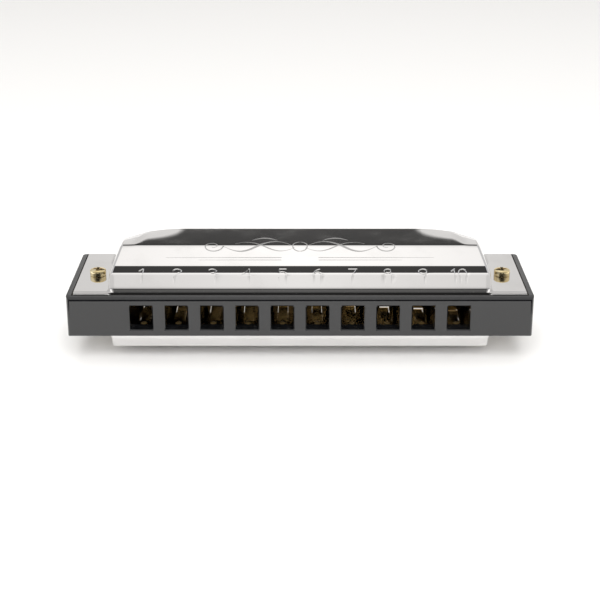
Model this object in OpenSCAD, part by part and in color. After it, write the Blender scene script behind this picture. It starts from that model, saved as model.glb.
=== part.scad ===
// Ten-hole diatonic harmonica: a moulded comb, two recessed reed plates with twenty reeds, two pressed covers.
// The comb lies level. X runs along the holes from 1 to 10, Y from the mouthpiece to the back, and Z is up.
// The origin is under the middle of the instrument, level with the lowest point of the lower cover.

/* [Comb] */
// Length along the row of holes
comb_length = 99; // [98:0.5:102]
// Depth from the mouthpiece face to the back
comb_depth = 27.5; // [27.5:0.25:28.5]
// Height between the two rims
comb_height = 8.9; // [8.5:0.1:9.5]
// Radius of the four upright corners
comb_corner_r = 1; // [0.5:0.1:1.4]
// Width of the rim beside each reed plate
side_rim = 1; // [0.8:0.1:1.2]
// Width of the rim in front of the covers
front_rim = 1.2; // [1:0.1:1.4]
// Width of the rim behind the reed plates
back_rim = 0.8; // [0.6:0.1:1]

/* [Mouth holes] */
// Number of holes
holes = 10; // [10:1:10]
// Distance between hole centres
hole_pitch = 7.5; // [7.4:0.05:7.6]
// Width of a hole at the mouthpiece face
hole_w = 4.8; // [4.5:0.1:5]
// Height of a hole at the mouthpiece face
hole_h = 5.4; // [5:0.1:5.6]
// Distance from the comb's middle plane down to the middle of the holes
hole_drop = 0.3; // [0:0.1:0.4]
// Depth of the mouthpiece wall that the holes pass through
mouth_wall = 3.2; // [3:0.1:3.4]
// Width of the air chamber behind each hole
chamber_w = 5.2; // [5:0.1:5.4]
// Air space beyond the tip of each reed
chamber_spare = 0.9; // [0.6:0.1:1.2]

/* [Reed plates] */
// Thickness of a reed plate
plate_t = 0.9; // [0.8:0.05:1.05]
// Gap between the side rim and a reed plate
plate_gap = 0.3; // [0.2:0.1:0.4]
// Clearance around a tongue in its slot
slot_clearance = 0.06; // [0.04:0.01:0.1]

/* [Reeds] */
// Free length of the longest reed
longest_reed = 16.5; // [15:0.5:17]
// Free length of the shortest reed
shortest_reed = 8.5; // [8:0.5:10]
// Width of the longest reed
widest_reed = 2.3; // [2.1:0.1:2.4]
// Width of the shortest reed
narrowest_reed = 1.9; // [1.7:0.1:2]
// Thickness of a reed
reed_t = 0.22; // [0.15:0.01:0.3]
// Distance from the mouthpiece face to the root of each tongue
reed_root_y = 6.8; // [6.6:0.1:7]
// Length of the riveted foot
foot_l = 3.2; // [3:0.1:3.4]
// Width of the riveted foot
foot_w = 2.9; // [2.7:0.1:3.1]

/* [Covers] */
// Sheet thickness
cover_t = 0.45; // [0.4:0.05:0.5]
// Distance from the mouthpiece face to the front of a cover
cover_front = 1.5; // [1.4:0.1:1.6]
// Distance from the mouthpiece face to the open back edge of a cover
cover_back = 26.5; // [26:0.25:27]
// Height of the steep front edge
cover_edge_h = 1.2; // [0.8:0.05:1.3]
// Lean of the steep front edge from upright, in degrees
edge_lean = 15; // [5:1:20]
// Slope of the nose above the edge, in degrees
nose_slope = 59; // [55:1:60]
// Length from side to side at the foot of the end walls
cover_span = 84.6; // [84:0.2:85]
// Lean of the end walls from upright, in degrees
wall_lean = 25; // [20:1:30]
// Height of the crown at the middle of the back
crown_h = 6.75; // [6.7:0.05:7.2]
// Half length of the straight stretch of the crown
crown_flat = 24.8; // [23:0.2:26]
// Fall of the rounded ends of the crown towards the back, in degrees
crown_fall = 12; // [6:0.5:13]
// Taper of a cover's ends towards its front corners, in degrees
end_taper = 8; // [0:0.5:9]

/* [Fasteners] */
// Distance from the middle to each cover screw
cover_screw_x = 44.15; // [44:0.05:44.3]
// Distance from the mouthpiece face to the cover screws
cover_screw_y = 12.5; // [11:0.5:14]
// Radius of a cover screw's shank
cover_screw_r = 1; // [0.9:0.05:1.05]
// Radius of a cover screw's head
cover_head_r = 1.75; // [1.6:0.05:1.8]
// Height of a cover screw's head
cover_head_h = 1.45; // [1.2:0.05:1.6]

/* [Hidden] */
$fn = 48;
reed_numbers = [1:holes];
kinds = ["blow", "draw"];

black = "#26272a";
steel = "#d5d8dc";
brass = "#c9a24a";
reed_brass = "#d8b866";
zinc = "#b9bcc0";

// How far cutting shapes run past the faces that they cut.
past = 1;

// Clearance around a screw, a nut's thread or a rivet in its hole.
screw_clearance = 0.15;
thread_clearance = 0.03;
rivet_clearance = 0.02;

// Plate screws: one pair near each end and one behind the shorter chambers.
plate_screw_r = 0.7;
plate_head_r = 1.35;
plate_head_h = 0.7;
plate_screw_l = 3.3;
plate_screw_places = [[-38.7, 7], [-38.7, 21], [38.7, 7], [38.7, 21], [15, 24.4]];

// Rivets.
rivet_r = 0.5;
rivet_head_r = 0.85;
rivet_head_h = 0.3;
rivet_tail_r = 0.7;
rivet_tail_h = 0.15;
rivet_y = reed_root_y - 0.45 * foot_l;

// Cover screw recess and nut.
recess_l = 2.1;
recess_w = 0.45;
recess_d = 0.75;
nut_flat_r = 1.9;
nut_h = 1.6;

// The tongue starts this far beyond the foot, so that it can swing.
root_gap = 0.12;

// The cover's front lip reaches this far down between the rim and the reed plate.
lip_depth = 0.4;
flange_inner = cover_span / 2 - 2.9;
flange_outer = comb_length / 2 - side_rim - 0.45;
flange_back = comb_depth - back_rim - 0.5;

plate_half = comb_length / 2 - side_rim - plate_gap;
plate_front = cover_front + cover_t + 0.1;
plate_back = comb_depth - back_rim - 0.1;

// The cover's profile from front to back, as [distance from the mouthpiece face, height over the rim].
ledge = [cover_front + cover_edge_h * tan(edge_lean), cover_edge_h];
nose = ledge + 2.5 * [cos(nose_slope), sin(nose_slope)];
nose_r = 1;
nose_to = 23;
nose_centre = nose + nose_r * [sin(nose_slope), -cos(nose_slope)];
bulge_r = 3.5;
shelf_slope = 6;
bulge_centre = nose_centre + (bulge_r - nose_r) * [sin(nose_to), -cos(nose_to)];
bulge_end = bulge_centre + bulge_r * [-sin(shelf_slope), cos(shelf_slope)];
shelf_end = bulge_end + 2.85 * [1, tan(shelf_slope)];
shoulder = shelf_end + 8 * [1, tan(14.5)];
brow_r = 1.2;
top_slope = 2.5;
brow = [cover_back - brow_r, shoulder[1] + (cover_back - brow_r - shoulder[0]) * tan(top_slope)];
cover_h = brow[1] + brow_r * (1 - cos(top_slope));
mid_z = cover_h + comb_height / 2;

// Points on an arc about a centre, from angle a to angle b.
function arc(centre, r, a, b, steps) =
    [for (i = [0:steps]) let (t = a + (b - a) * i / steps) centre + r * [cos(t), sin(t)]];

// The outward normal at point i of a path that runs with its outside on the left.
function outward(path, i) =
    let (d = path[min(i + 1, len(path) - 1)] - path[max(i - 1, 0)]) [-d[1], d[0]] / norm(d);

// The same path moved inwards by t.
function inset(path, t) = [for (i = [0:len(path) - 1]) path[i] - t * outward(path, i)];

cover_profile = concat(
    [[cover_front, 0], (ledge + [cover_front, 0]) / 2],
    [ledge, (ledge + nose) / 2],
    arc(nose_centre, nose_r, 90 + nose_slope, 90 + nose_to, 3),
    arc(bulge_centre, bulge_r, 90 + nose_to - 6, 90 + shelf_slope, 2),
    [shelf_end, shoulder],
    arc(brow - brow_r * [sin(-top_slope), cos(top_slope)], brow_r, 90 + top_slope, 30, 3)
);

// The crown's outline at the back, as [x, height over the rim], from the left end to the right.
crown_r = 39.5;
crown_drop_x = 17.5;
crown_left = concat(
    [[-cover_span / 2 - 1, 0]],
    arc([-crown_flat, crown_h - crown_r], crown_r, 90 + asin(crown_drop_x / crown_r), 90, 8)
);
crown = concat(crown_left, [for (i = [len(crown_left) - 1:-1:0]) [-crown_left[i][0], crown_left[i][1]]]);

// The end walls' outline, up past the crown.
wall_top_x = cover_span / 2 - (crown_h + 1) * tan(wall_lean);
end_walls = [[-cover_span / 2, 0], [-wall_top_x, crown_h + 1], [wall_top_x, crown_h + 1], [cover_span / 2, 0]];

// The ends taper towards the front from this far behind the mouthpiece face.
taper_y = 13.6;

// Position of hole i along X, and the size of its reeds.
function hole_x(i) = (i - (holes + 1) / 2) * hole_pitch;
function along(i, first, last) = first + (last - first) * (i - 1) / (holes - 1);
function reed_l(i) = along(i, longest_reed, shortest_reed);
function reed_w(i) = along(i, widest_reed, narrowest_reed);

// Blow reeds lie on the inner face of the upper plate, and draw reeds on the outer face of the lower one.
function reed_z(kind) = kind == "blow" ? -plate_t - reed_t : 0;

// Each deck has its zero at the comb's rim and the mouthpiece face, with Z pointing out of the comb.
module upper_deck() translate([0, -comb_depth / 2, mid_z + comb_height / 2]) children();
module lower_deck() translate([0, -comb_depth / 2, mid_z - comb_height / 2]) mirror([0, 0, 1]) children();
module deck(kind) {
    if (kind == "blow") upper_deck() children();
    else lower_deck() children();
}

module both_ends() for (side = [-1, 1]) translate([side * cover_screw_x, cover_screw_y, 0]) children();

// A block centred on X, between two depths and two heights.
module block(w, y0, y1, z0, z1) translate([-w / 2, y0, z0]) cube([w, y1 - y0, z1 - z0]);

module rounded_slab(l, d, h, r) {
    linear_extrude(h) {
        translate([-l / 2 + r, 0]) square([l - 2 * r, d]);
        translate([-l / 2, r]) square([l, d - 2 * r]);
        for (x = [-l / 2 + r, l / 2 - r], y = [r, d - r]) translate([x, y]) circle(r);
    }
}

// Recess for one reed plate, with pilot holes for its screws, in deck coordinates.
module plate_recess() {
    block(comb_length - 2 * side_rim, front_rim, comb_depth - back_rim, -plate_t, past);
    for (p = plate_screw_places)
        translate([p[0], p[1], -plate_t - plate_screw_l]) cylinder(h = plate_screw_l, r = plate_screw_r + thread_clearance);
}

module comb() color(black) difference() {
    translate([0, -comb_depth / 2, mid_z - comb_height / 2])
        rounded_slab(comb_length, comb_depth, comb_height, comb_corner_r);
    upper_deck() plate_recess();
    lower_deck() plate_recess();
    upper_deck() for (i = reed_numbers) translate([hole_x(i), 0, -comb_height / 2]) {
        block(hole_w, -past, mouth_wall + past, -hole_drop - hole_h / 2, -hole_drop + hole_h / 2);
        block(
            chamber_w, mouth_wall, reed_root_y + reed_l(i) + chamber_spare,
            -comb_height / 2, comb_height / 2
        );
    }
    upper_deck() both_ends() translate([0, 0, -comb_height - past])
        cylinder(h = comb_height + 2 * past, r = cover_screw_r + screw_clearance);
}

module reed_plate() difference() {
    block(2 * plate_half, plate_front, plate_back, -plate_t, 0);
    for (i = reed_numbers) translate([hole_x(i), 0, 0]) {
        block(
            reed_w(i) + 2 * slot_clearance, reed_root_y, reed_root_y + reed_l(i) + 2 * slot_clearance,
            -plate_t - past, past
        );
        translate([0, rivet_y, -plate_t - past]) cylinder(h = plate_t + 2 * past, r = rivet_r + rivet_clearance);
    }
    for (p = plate_screw_places)
        translate([p[0], p[1], -plate_t - past]) cylinder(h = plate_t + 2 * past, r = plate_screw_r + screw_clearance);
    both_ends() translate([0, 0, -plate_t - past])
        cylinder(h = plate_t + 2 * past, r = cover_screw_r + screw_clearance);
}

module upper_reed_plate() color(brass) upper_deck() reed_plate();
module lower_reed_plate() color(brass) lower_deck() reed_plate();

module reed_foot(kind, i) color(reed_brass) deck(kind) translate([hole_x(i), 0, reed_z(kind)]) difference() {
    block(foot_w, reed_root_y - foot_l, reed_root_y, 0, reed_t);
    translate([0, rivet_y, -past]) cylinder(h = reed_t + 2 * past, r = rivet_r + rivet_clearance);
}

module reed_tongue(kind, i) color(reed_brass) deck(kind) translate([hole_x(i), 0, reed_z(kind)])
    block(reed_w(i), reed_root_y + root_gap, reed_root_y + reed_l(i), 0, reed_t);

// One rivet standing on z = 0, with its head up and its tail below the stack that it clamps.
module rivet() {
    cylinder(h = rivet_head_h, r = rivet_head_r);
    translate([0, 0, -plate_t - reed_t]) cylinder(h = plate_t + reed_t, r = rivet_r);
    translate([0, 0, -plate_t - reed_t - rivet_tail_h]) cylinder(h = rivet_tail_h, r = rivet_tail_r);
}

module upper_rivets() color(brass) upper_deck() for (i = reed_numbers)
    translate([hole_x(i), rivet_y, -plate_t - reed_t]) mirror([0, 0, 1]) rivet();

module lower_rivets() color(brass) lower_deck() for (i = reed_numbers)
    translate([hole_x(i), rivet_y, reed_t]) rivet();

// A cross cut down into a screw head from z = 0.
module cross_recess(l, w, d) for (turn = [0, 90]) rotate([0, 0, turn])
    translate([-l / 2, -w / 2, -d]) cube([l, w, d + past]);

module plate_screws() for (p = plate_screw_places) translate([p[0], p[1], 0]) difference() {
    union() {
        cylinder(h = plate_head_h, r = plate_head_r);
        translate([0, 0, -plate_t - plate_screw_l]) cylinder(h = plate_t + plate_screw_l, r = plate_screw_r);
    }
    translate([0, 0, plate_head_h]) cross_recess(1.6, 0.35, 0.4);
}

module upper_plate_screws() color(zinc) upper_deck() plate_screws();
module lower_plate_screws() color(zinc) lower_deck() plate_screws();

// The solid under an outline drawn as [x, height], run from the mouthpiece to past the back.
module run_back(outline, below) translate([0, comb_depth + 2 * past, 0]) rotate([90, 0, 0])
    linear_extrude(comb_depth + 4 * past)
        polygon(concat([[outline[0][0], below]], outline, [[outline[len(outline) - 1][0], below]]));

// Everything inside the tapered front part of the right end wall, drawn t inside its outer face.
module tapered_end(t) {
    translate([cover_span / 2, taper_y, 0]) rotate([0, 0, -end_taper]) translate([-cover_span / 2, 100, 0])
        rotate([90, 0, 0]) linear_extrude(200)
            polygon([[-100, -1], [-100, crown_h + 1], [cover_span / 2 - t, crown_h + 1], [cover_span / 2 - t, -1]]);
}

// The solid under the cover's profile, its end walls and its falling crown, drawn t inside the outer faces.
module cover_mass(t) {
    below = t > 0 ? -past : 0;
    back = t > 0 ? cover_back + past : cover_back;
    profile = inset(cover_profile, t);
    last = profile[len(profile) - 1];
    intersection() {
        rotate([90, 0, 90]) linear_extrude(cover_span + 2 * past, center = true)
            polygon(concat([[profile[0][0], below]], profile, [[back, last[1]], [back, below]]));
        run_back(inset(end_walls, t), below);
        tapered_end(t);
        mirror([1, 0, 0]) tapered_end(t);
        translate([0, cover_back, 0]) rotate([-crown_fall, 0, 0]) translate([0, -cover_back, 0])
            run_back(inset(crown, t), -6);
    }
}

module cover() difference() {
    union() {
        cover_mass(0);
        for (side = [-1, 1])
            translate([side * (flange_inner + flange_outer) / 2, 0, 0])
                block(flange_outer - flange_inner, cover_front, flange_back, 0, cover_t);
        block(2 * flange_outer, cover_front, cover_front + cover_t, -lip_depth, cover_t);
    }
    cover_mass(cover_t);
    both_ends() translate([0, 0, -past]) cylinder(h = cover_t + 2 * past, r = cover_screw_r + screw_clearance);
}

module upper_cover() color(steel) upper_deck() cover();
module lower_cover() color(steel) lower_deck() cover();

module cover_screw(side) color(brass) upper_deck() translate([side * cover_screw_x, cover_screw_y, cover_t]) {
    difference() {
        cylinder(h = cover_head_h, r = cover_head_r);
        translate([0, 0, cover_head_h]) cross_recess(recess_l, recess_w, recess_d);
    }
    shank_l = comb_height + 2 * cover_t + nut_h;
    translate([0, 0, -shank_l]) cylinder(h = shank_l, r = cover_screw_r);
}

module cover_nut(side) color(brass) lower_deck() translate([side * cover_screw_x, cover_screw_y, cover_t])
    difference() {
        cylinder(h = nut_h, r = nut_flat_r, $fn = 6);
        translate([0, 0, -past]) cylinder(h = nut_h + 2 * past, r = cover_screw_r + thread_clearance);
    }

comb();
upper_reed_plate();
lower_reed_plate();
upper_cover();
lower_cover();
cover_screw(-1);  // left_cover_screw
cover_screw(1);  // right_cover_screw
cover_nut(-1);  // left_cover_nut
cover_nut(1);  // right_cover_nut
upper_rivets();
lower_rivets();
upper_plate_screws();
lower_plate_screws();
for (kind = kinds, i = reed_numbers) {
    reed_foot(kind, i);
    reed_tongue(kind, i);
}
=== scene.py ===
"""Looks of a ten-hole diatonic harmonica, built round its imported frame.

Every piece is modelled here in metres, in the frame's own coordinates: X runs along the holes, Y from the
mouthpiece to the open back, and Z is up. Most sizes are written in millimetres on a deck: a deck has its zero
at the mouthpiece face and the comb's rim, and its height points out of the comb.
"""

from __future__ import annotations

import logging
import math
from collections.abc import Callable, Iterable, Iterator, Sequence
from contextlib import contextmanager
from dataclasses import dataclass
from enum import Enum

import bpy
import numpy as np
from mathutils import Matrix, Vector


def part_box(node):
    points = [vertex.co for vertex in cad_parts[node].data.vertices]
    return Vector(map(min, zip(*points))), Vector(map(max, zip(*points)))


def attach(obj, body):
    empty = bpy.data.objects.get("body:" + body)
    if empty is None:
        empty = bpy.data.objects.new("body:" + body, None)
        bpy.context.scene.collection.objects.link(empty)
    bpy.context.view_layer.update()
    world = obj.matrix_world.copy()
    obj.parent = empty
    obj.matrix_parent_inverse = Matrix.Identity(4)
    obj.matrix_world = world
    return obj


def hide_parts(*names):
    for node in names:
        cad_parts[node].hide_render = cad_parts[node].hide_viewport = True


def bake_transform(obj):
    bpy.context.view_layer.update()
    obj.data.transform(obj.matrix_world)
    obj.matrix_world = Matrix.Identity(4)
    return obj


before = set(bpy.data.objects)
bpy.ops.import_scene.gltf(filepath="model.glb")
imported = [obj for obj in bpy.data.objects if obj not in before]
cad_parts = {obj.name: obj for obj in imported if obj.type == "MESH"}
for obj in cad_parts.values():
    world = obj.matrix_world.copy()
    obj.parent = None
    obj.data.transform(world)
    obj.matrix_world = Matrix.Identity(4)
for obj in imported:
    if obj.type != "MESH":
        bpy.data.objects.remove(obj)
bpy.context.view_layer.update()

MM = 0.001
HOLES = 10
HOLE_PITCH = 7.5
ROOT = "instrument"
DOUBLES = 1e-7
SAME = 1e-6

logging.basicConfig(level=logging.INFO, format="%(name)s: %(message)s")
log = logging.getLogger("harmonica")


class Deck(Enum):
    """Which side of the comb a piece lies on."""

    UPPER = "upper"
    LOWER = "lower"


class Air(Enum):
    """Which breath sounds a reed."""

    BLOW = "blow"
    DRAW = "draw"

    @property
    def deck(self) -> Deck:
        """The deck whose plate carries these reeds."""
        return Deck.UPPER if self is Air.BLOW else Deck.LOWER


@dataclass(frozen=True)
class Bench:
    """The comb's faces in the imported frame, in metres, from which every piece takes its place."""

    low: Vector
    high: Vector

    @classmethod
    def from_frame(cls) -> Bench:
        """Reads the comb's corners from the frame.

        Returns:
            The bench.
        """
        low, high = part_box("comb")
        return cls(Vector(low), Vector(high))

    @property
    def middle(self) -> float:
        """Height of the comb's middle plane."""
        return (self.low.z + self.high.z) / 2

    def at(self, x: float, y: float, z: float) -> Vector:
        """Turns upper-deck millimetres into a point in the frame.

        Args:
            x: Distance from the middle, towards the high notes.
            y: Distance behind the mouthpiece face.
            z: Height over the comb's rim.

        Returns:
            The point, in metres.
        """
        return Vector((x * MM, self.low.y + y * MM, self.high.z + z * MM))


BENCH = Bench.from_frame()


# Working at the bench: selecting, editing and finishing meshes.


def lay_down() -> None:
    """Leaves edit mode and deselects everything."""
    if bpy.context.object and bpy.context.object.mode != "OBJECT":
        bpy.ops.object.mode_set(mode="OBJECT")
    bpy.ops.object.select_all(action="DESELECT")


def pick_up(*pieces: bpy.types.Object) -> None:
    """Selects these pieces alone and makes the first active.

    Args:
        pieces: The pieces to select.
    """
    lay_down()
    for piece in pieces:
        piece.select_set(True)
    bpy.context.view_layer.objects.active = pieces[0]


@contextmanager
def editing(piece: bpy.types.Object, mode: str = "VERT") -> Iterator[bpy.types.Mesh]:
    """Opens a piece in edit mode with what its mesh has selected.

    Args:
        piece: The piece to edit.
        mode: VERT, EDGE or FACE.

    Yields:
        The piece's mesh.
    """
    pick_up(piece)
    bpy.context.tool_settings.mesh_select_mode = (mode == "VERT", mode == "EDGE", mode == "FACE")
    bpy.ops.object.mode_set(mode="EDIT")
    yield piece.data
    bpy.ops.object.mode_set(mode="OBJECT")


def select_faces(piece: bpy.types.Object, test: Callable[[Vector, Vector], bool]) -> None:
    """Selects the faces that pass a test, and nothing else.

    Args:
        piece: The piece, in object mode.
        test: Takes a face's centre and normal.
    """
    mesh = piece.data
    mesh.vertices.foreach_set("select", [False] * len(mesh.vertices))
    mesh.edges.foreach_set("select", [False] * len(mesh.edges))
    chosen = [test(p.center, p.normal) for p in mesh.polygons]
    mesh.polygons.foreach_set("select", chosen)


def select_edges(piece: bpy.types.Object, test: Callable[[Vector, Vector], bool]) -> None:
    """Selects the edges that pass a test, and nothing else.

    Args:
        piece: The piece, in object mode.
        test: Takes an edge's two ends.
    """
    mesh = piece.data
    mesh.vertices.foreach_set("select", [False] * len(mesh.vertices))
    mesh.polygons.foreach_set("select", [False] * len(mesh.polygons))
    chosen = [test(*(mesh.vertices[v].co for v in e.vertices)) for e in mesh.edges]
    mesh.edges.foreach_set("select", chosen)


def settle(piece: bpy.types.Object) -> bpy.types.Object:
    """Moves a piece's place into its mesh, so that its object sits at the origin."""
    pick_up(piece)
    bpy.ops.object.transform_apply(location=True, rotation=True, scale=True)
    return piece


def finish_modifiers(piece: bpy.types.Object) -> None:
    """Applies every modifier of a piece, in order."""
    pick_up(piece)
    for modifier in list(piece.modifiers):
        bpy.ops.object.modifier_apply(modifier=modifier.name)


def cube(name: str, low: Vector, high: Vector) -> bpy.types.Object:
    """Adds a block between two corners.

    Args:
        name: The piece's name.
        low: Lowest corner, in metres.
        high: Highest corner, in metres.

    Returns:
        The block, with its place in its mesh.
    """
    lay_down()
    bpy.ops.mesh.primitive_cube_add(size=1, location=(low + high) / 2)
    piece = bpy.context.object
    piece.name = piece.data.name = name
    piece.scale = high - low
    return settle(piece)


def cylinder(name: str, radius: float, low: Vector, length: float, sides: int = 48) -> bpy.types.Object:
    """Adds an upright cylinder.

    Args:
        name: The piece's name.
        radius: Radius, in metres.
        low: Middle of its lower end.
        length: Length along Z.
        sides: Sides of its outline.

    Returns:
        The cylinder, with its place in its mesh.
    """
    lay_down()
    middle = low + Vector((0, 0, length / 2))
    bpy.ops.mesh.primitive_cylinder_add(vertices=sides, radius=radius, depth=length, location=middle)
    piece = bpy.context.object
    piece.name = piece.data.name = name
    return settle(piece)


def join(pieces: Sequence[bpy.types.Object], name: str) -> bpy.types.Object:
    """Joins pieces into one mesh.

    Args:
        pieces: The pieces, of which the first is kept.
        name: The joined piece's name.

    Returns:
        The joined piece.
    """
    pick_up(*pieces)
    if len(pieces) > 1:
        bpy.ops.object.join()
    pieces[0].name = pieces[0].data.name = name
    return pieces[0]


def copy_of(piece: bpy.types.Object, name: str, move: Vector = Vector()) -> bpy.types.Object:
    """Copies a piece with a mesh of its own.

    Args:
        piece: The piece to copy.
        name: The copy's name.
        move: How far the copy is moved.

    Returns:
        The copy, with its place in its mesh.
    """
    pick_up(piece)
    bpy.ops.object.duplicate(linked=False)
    copied = bpy.context.object
    copied.name = copied.data.name = name
    copied.location = move
    return settle(copied)


def cut(piece: bpy.types.Object, cutters: Sequence[bpy.types.Object], solver: str = "EXACT") -> None:
    """Cuts shapes that don't touch one another out of a piece, and deletes them.

    Args:
        piece: The piece to cut.
        cutters: Closed cutting shapes.
        solver: Blender's boolean solver.
    """
    cutter = join(list(cutters), f"{piece.name}_cutter")
    boolean = piece.modifiers.new("cut", "BOOLEAN")
    boolean.operation, boolean.object, boolean.solver = "DIFFERENCE", cutter, solver
    finish_modifiers(piece)
    bpy.data.objects.remove(cutter)


def break_edges(piece: bpy.types.Object, width: float, angle: float = 60) -> None:
    """Takes the sharpness off a piece's edges with a narrow chamfer.

    Args:
        piece: The piece.
        width: Width of the chamfer, in metres.
        angle: Edges that turn by more than this many degrees are broken.
    """
    bevel = piece.modifiers.new("broken_edges", "BEVEL")
    bevel.width, bevel.segments = width, 1
    bevel.limit_method, bevel.angle_limit = "ANGLE", math.radians(angle)
    bevel.use_clamp_overlap, bevel.harden_normals = True, False
    finish_modifiers(piece)


def smooth(piece: bpy.types.Object, angle: float = 35) -> bpy.types.Object:
    """Shades a piece smooth but for edges sharper than an angle in degrees."""
    pick_up(piece)
    bpy.ops.object.shade_smooth_by_angle(angle=math.radians(angle))
    return piece


def even_shading(piece: bpy.types.Object, angle: float = 35) -> bpy.types.Object:
    """Shades a piece smooth, with its large flat faces kept flat beside their rounded edges."""
    smooth(piece, angle)
    weighted = piece.modifiers.new("even", "WEIGHTED_NORMAL")
    weighted.weight, weighted.keep_sharp, weighted.mode = 100, True, "FACE_AREA"
    finish_modifiers(piece)
    return piece


def turn_outwards(piece: bpy.types.Object) -> None:
    """Merges doubled vertices and points every face outwards."""
    with editing(piece):
        bpy.ops.mesh.select_all(action="SELECT")
        bpy.ops.mesh.remove_doubles(threshold=DOUBLES)
        bpy.ops.mesh.normals_make_consistent(inside=False)


def to_lower_deck(piece: bpy.types.Object) -> bpy.types.Object:
    """Mirrors a piece from the upper deck to the lower one, faces still outwards."""
    middle = Matrix.Translation((0, 0, BENCH.middle))
    mirror = middle @ Matrix.Diagonal((1, 1, -1, 1)) @ middle.inverted()
    piece.data.transform(mirror)
    with editing(piece):
        bpy.ops.mesh.select_all(action="SELECT")
        bpy.ops.mesh.flip_normals()
    return piece


def turned(name: str, outline: Sequence[tuple[float, float]], steps: int = 40) -> bpy.types.Object:
    """Turns an outline round the Z axis, as on a lathe.

    Args:
        name: The piece's name.
        outline: (radius, height) points in millimetres, from one end of the axis to the other.
        steps: Sides of the turned piece.

    Returns:
        The turned piece, standing on the origin.
    """
    lay_down()
    bpy.ops.mesh.primitive_plane_add(size=2 * MM)
    piece = bpy.context.object
    piece.name = piece.data.name = name
    select_faces(piece, lambda centre, normal: False)
    for vertex in piece.data.vertices[1:]:
        vertex.select = True
    start = Vector((outline[0][0] * MM, 0, outline[0][1] * MM))
    with editing(piece):
        bpy.ops.mesh.delete(type="VERT")
        bpy.ops.mesh.select_all(action="SELECT")
        bpy.ops.transform.translate(value=start - Vector((-MM, -MM, 0)))
        for (r0, z0), (r1, z1) in zip(outline, outline[1:], strict=False):
            step = ((r1 - r0) * MM, 0, (z1 - z0) * MM)
            bpy.ops.mesh.extrude_vertices_move(TRANSFORM_OT_translate={"value": step})
        bpy.ops.mesh.select_all(action="SELECT")
        bpy.ops.mesh.spin(steps=steps, angle=2 * math.pi, center=(0, 0, 0), axis=(0, 0, 1))
    turn_outwards(piece)
    return piece


def round_edges(
    piece: bpy.types.Object, test: Callable[[Vector, Vector], bool], width: float, segments: int = 3
) -> None:
    """Rounds the edges that pass a test.

    Args:
        piece: The piece.
        test: Takes an edge's two ends.
        width: Radius of the rounding, in metres.
        segments: Facets across it.
    """
    select_edges(piece, test)
    with editing(piece, "EDGE"):
        bpy.ops.mesh.bevel(offset=width, segments=segments, profile=0.5, affect="EDGES", clamp_overlap=True)


def is_upright(p: Vector, q: Vector) -> bool:
    """Whether an edge runs along Z."""
    return math.hypot(p.x - q.x, p.y - q.y) < SAME


def runs_back(p: Vector, q: Vector) -> bool:
    """Whether an edge of a block runs from front to back."""
    return abs(p.y - q.y) > MM


def hole_x(number: int) -> float:
    """Middle of a hole along X, in millimetres."""
    return (number - (HOLES + 1) / 2) * HOLE_PITCH


def domed(radius: float, height: float, base: float, steps: int = 5) -> list[tuple[float, float]]:
    """Outline of a low dome, from its rim up to its pole.

    Args:
        radius: Radius of the rim.
        height: Height of the pole over the rim.
        base: Height of the rim.
        steps: Points between rim and pole.

    Returns:
        (radius, height) points for turned().
    """
    turns = [math.pi / 2 * k / steps for k in range(steps + 1)]
    return [(radius * math.cos(t), base + height * math.sin(t)) for t in turns[:-1]] + [(0, base + height)]


def threads(radius: float, low: float, high: float, pitch: float, depth: float) -> list[tuple[float, float]]:
    """Outline of thread ridges along a shank.

    Args:
        radius: Radius over the crests.
        low: Where the ridges start.
        high: Where they end.
        pitch: Distance between crests.
        depth: Depth of the grooves.

    Returns:
        (radius, height) points for turned().
    """
    count = int((high - low) / pitch)
    ridges = [(low + k * pitch, low + (k + 0.5) * pitch) for k in range(count)]
    points = [point for a, b in ridges for point in ((radius - depth, a), (radius, b))]
    return [*points, (radius - depth, low + count * pitch)]


@dataclass(frozen=True)
class CrossRecess:
    """The tapered cross in a screw's head, in millimetres."""

    length: float
    width: float
    depth: float
    taper: tuple[float, float, float] = (0.55, 0.7, 1)

    def sink(self, screw: bpy.types.Object, height: float) -> None:
        """Cuts the cross into the top of a head.

        Args:
            screw: The screw, upright on the origin.
            height: Height of the head's top.
        """
        low = Vector((-self.length / 2, -self.width / 2, height - self.depth)) * MM
        high = Vector((self.length / 2, self.width / 2, height + 0.3)) * MM
        for turn in (0, math.pi / 2):
            slot = cube("slot", low, high)
            select_faces(slot, lambda centre, normal: normal.z < -0.9)
            with editing(slot, "FACE"):
                bpy.ops.transform.resize(value=self.taper, center_override=(0, 0, low.z))
            slot.data.transform(Matrix.Rotation(turn, 4, "Z"))
            cut(screw, [slot])


# Outlines made of straight runs and round corners.


@dataclass(frozen=True)
class Corner:
    """A corner of an outline, in millimetres, rounded to a radius."""

    a: float
    b: float
    radius: float = 0


@dataclass(frozen=True)
class Run:
    """A straight run of an outline: how deep it goes, its climb in degrees, and the rounding at its end."""

    depth: float
    climb: float
    radius: float = 0

    def after(self, corner: Corner) -> Corner:
        """The corner at which the run ends, when it starts from another."""
        rise = self.depth * math.tan(math.radians(self.climb))
        return Corner(corner.a + self.depth, corner.b + rise, self.radius)


FINEST_RUN = 0.07


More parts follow.
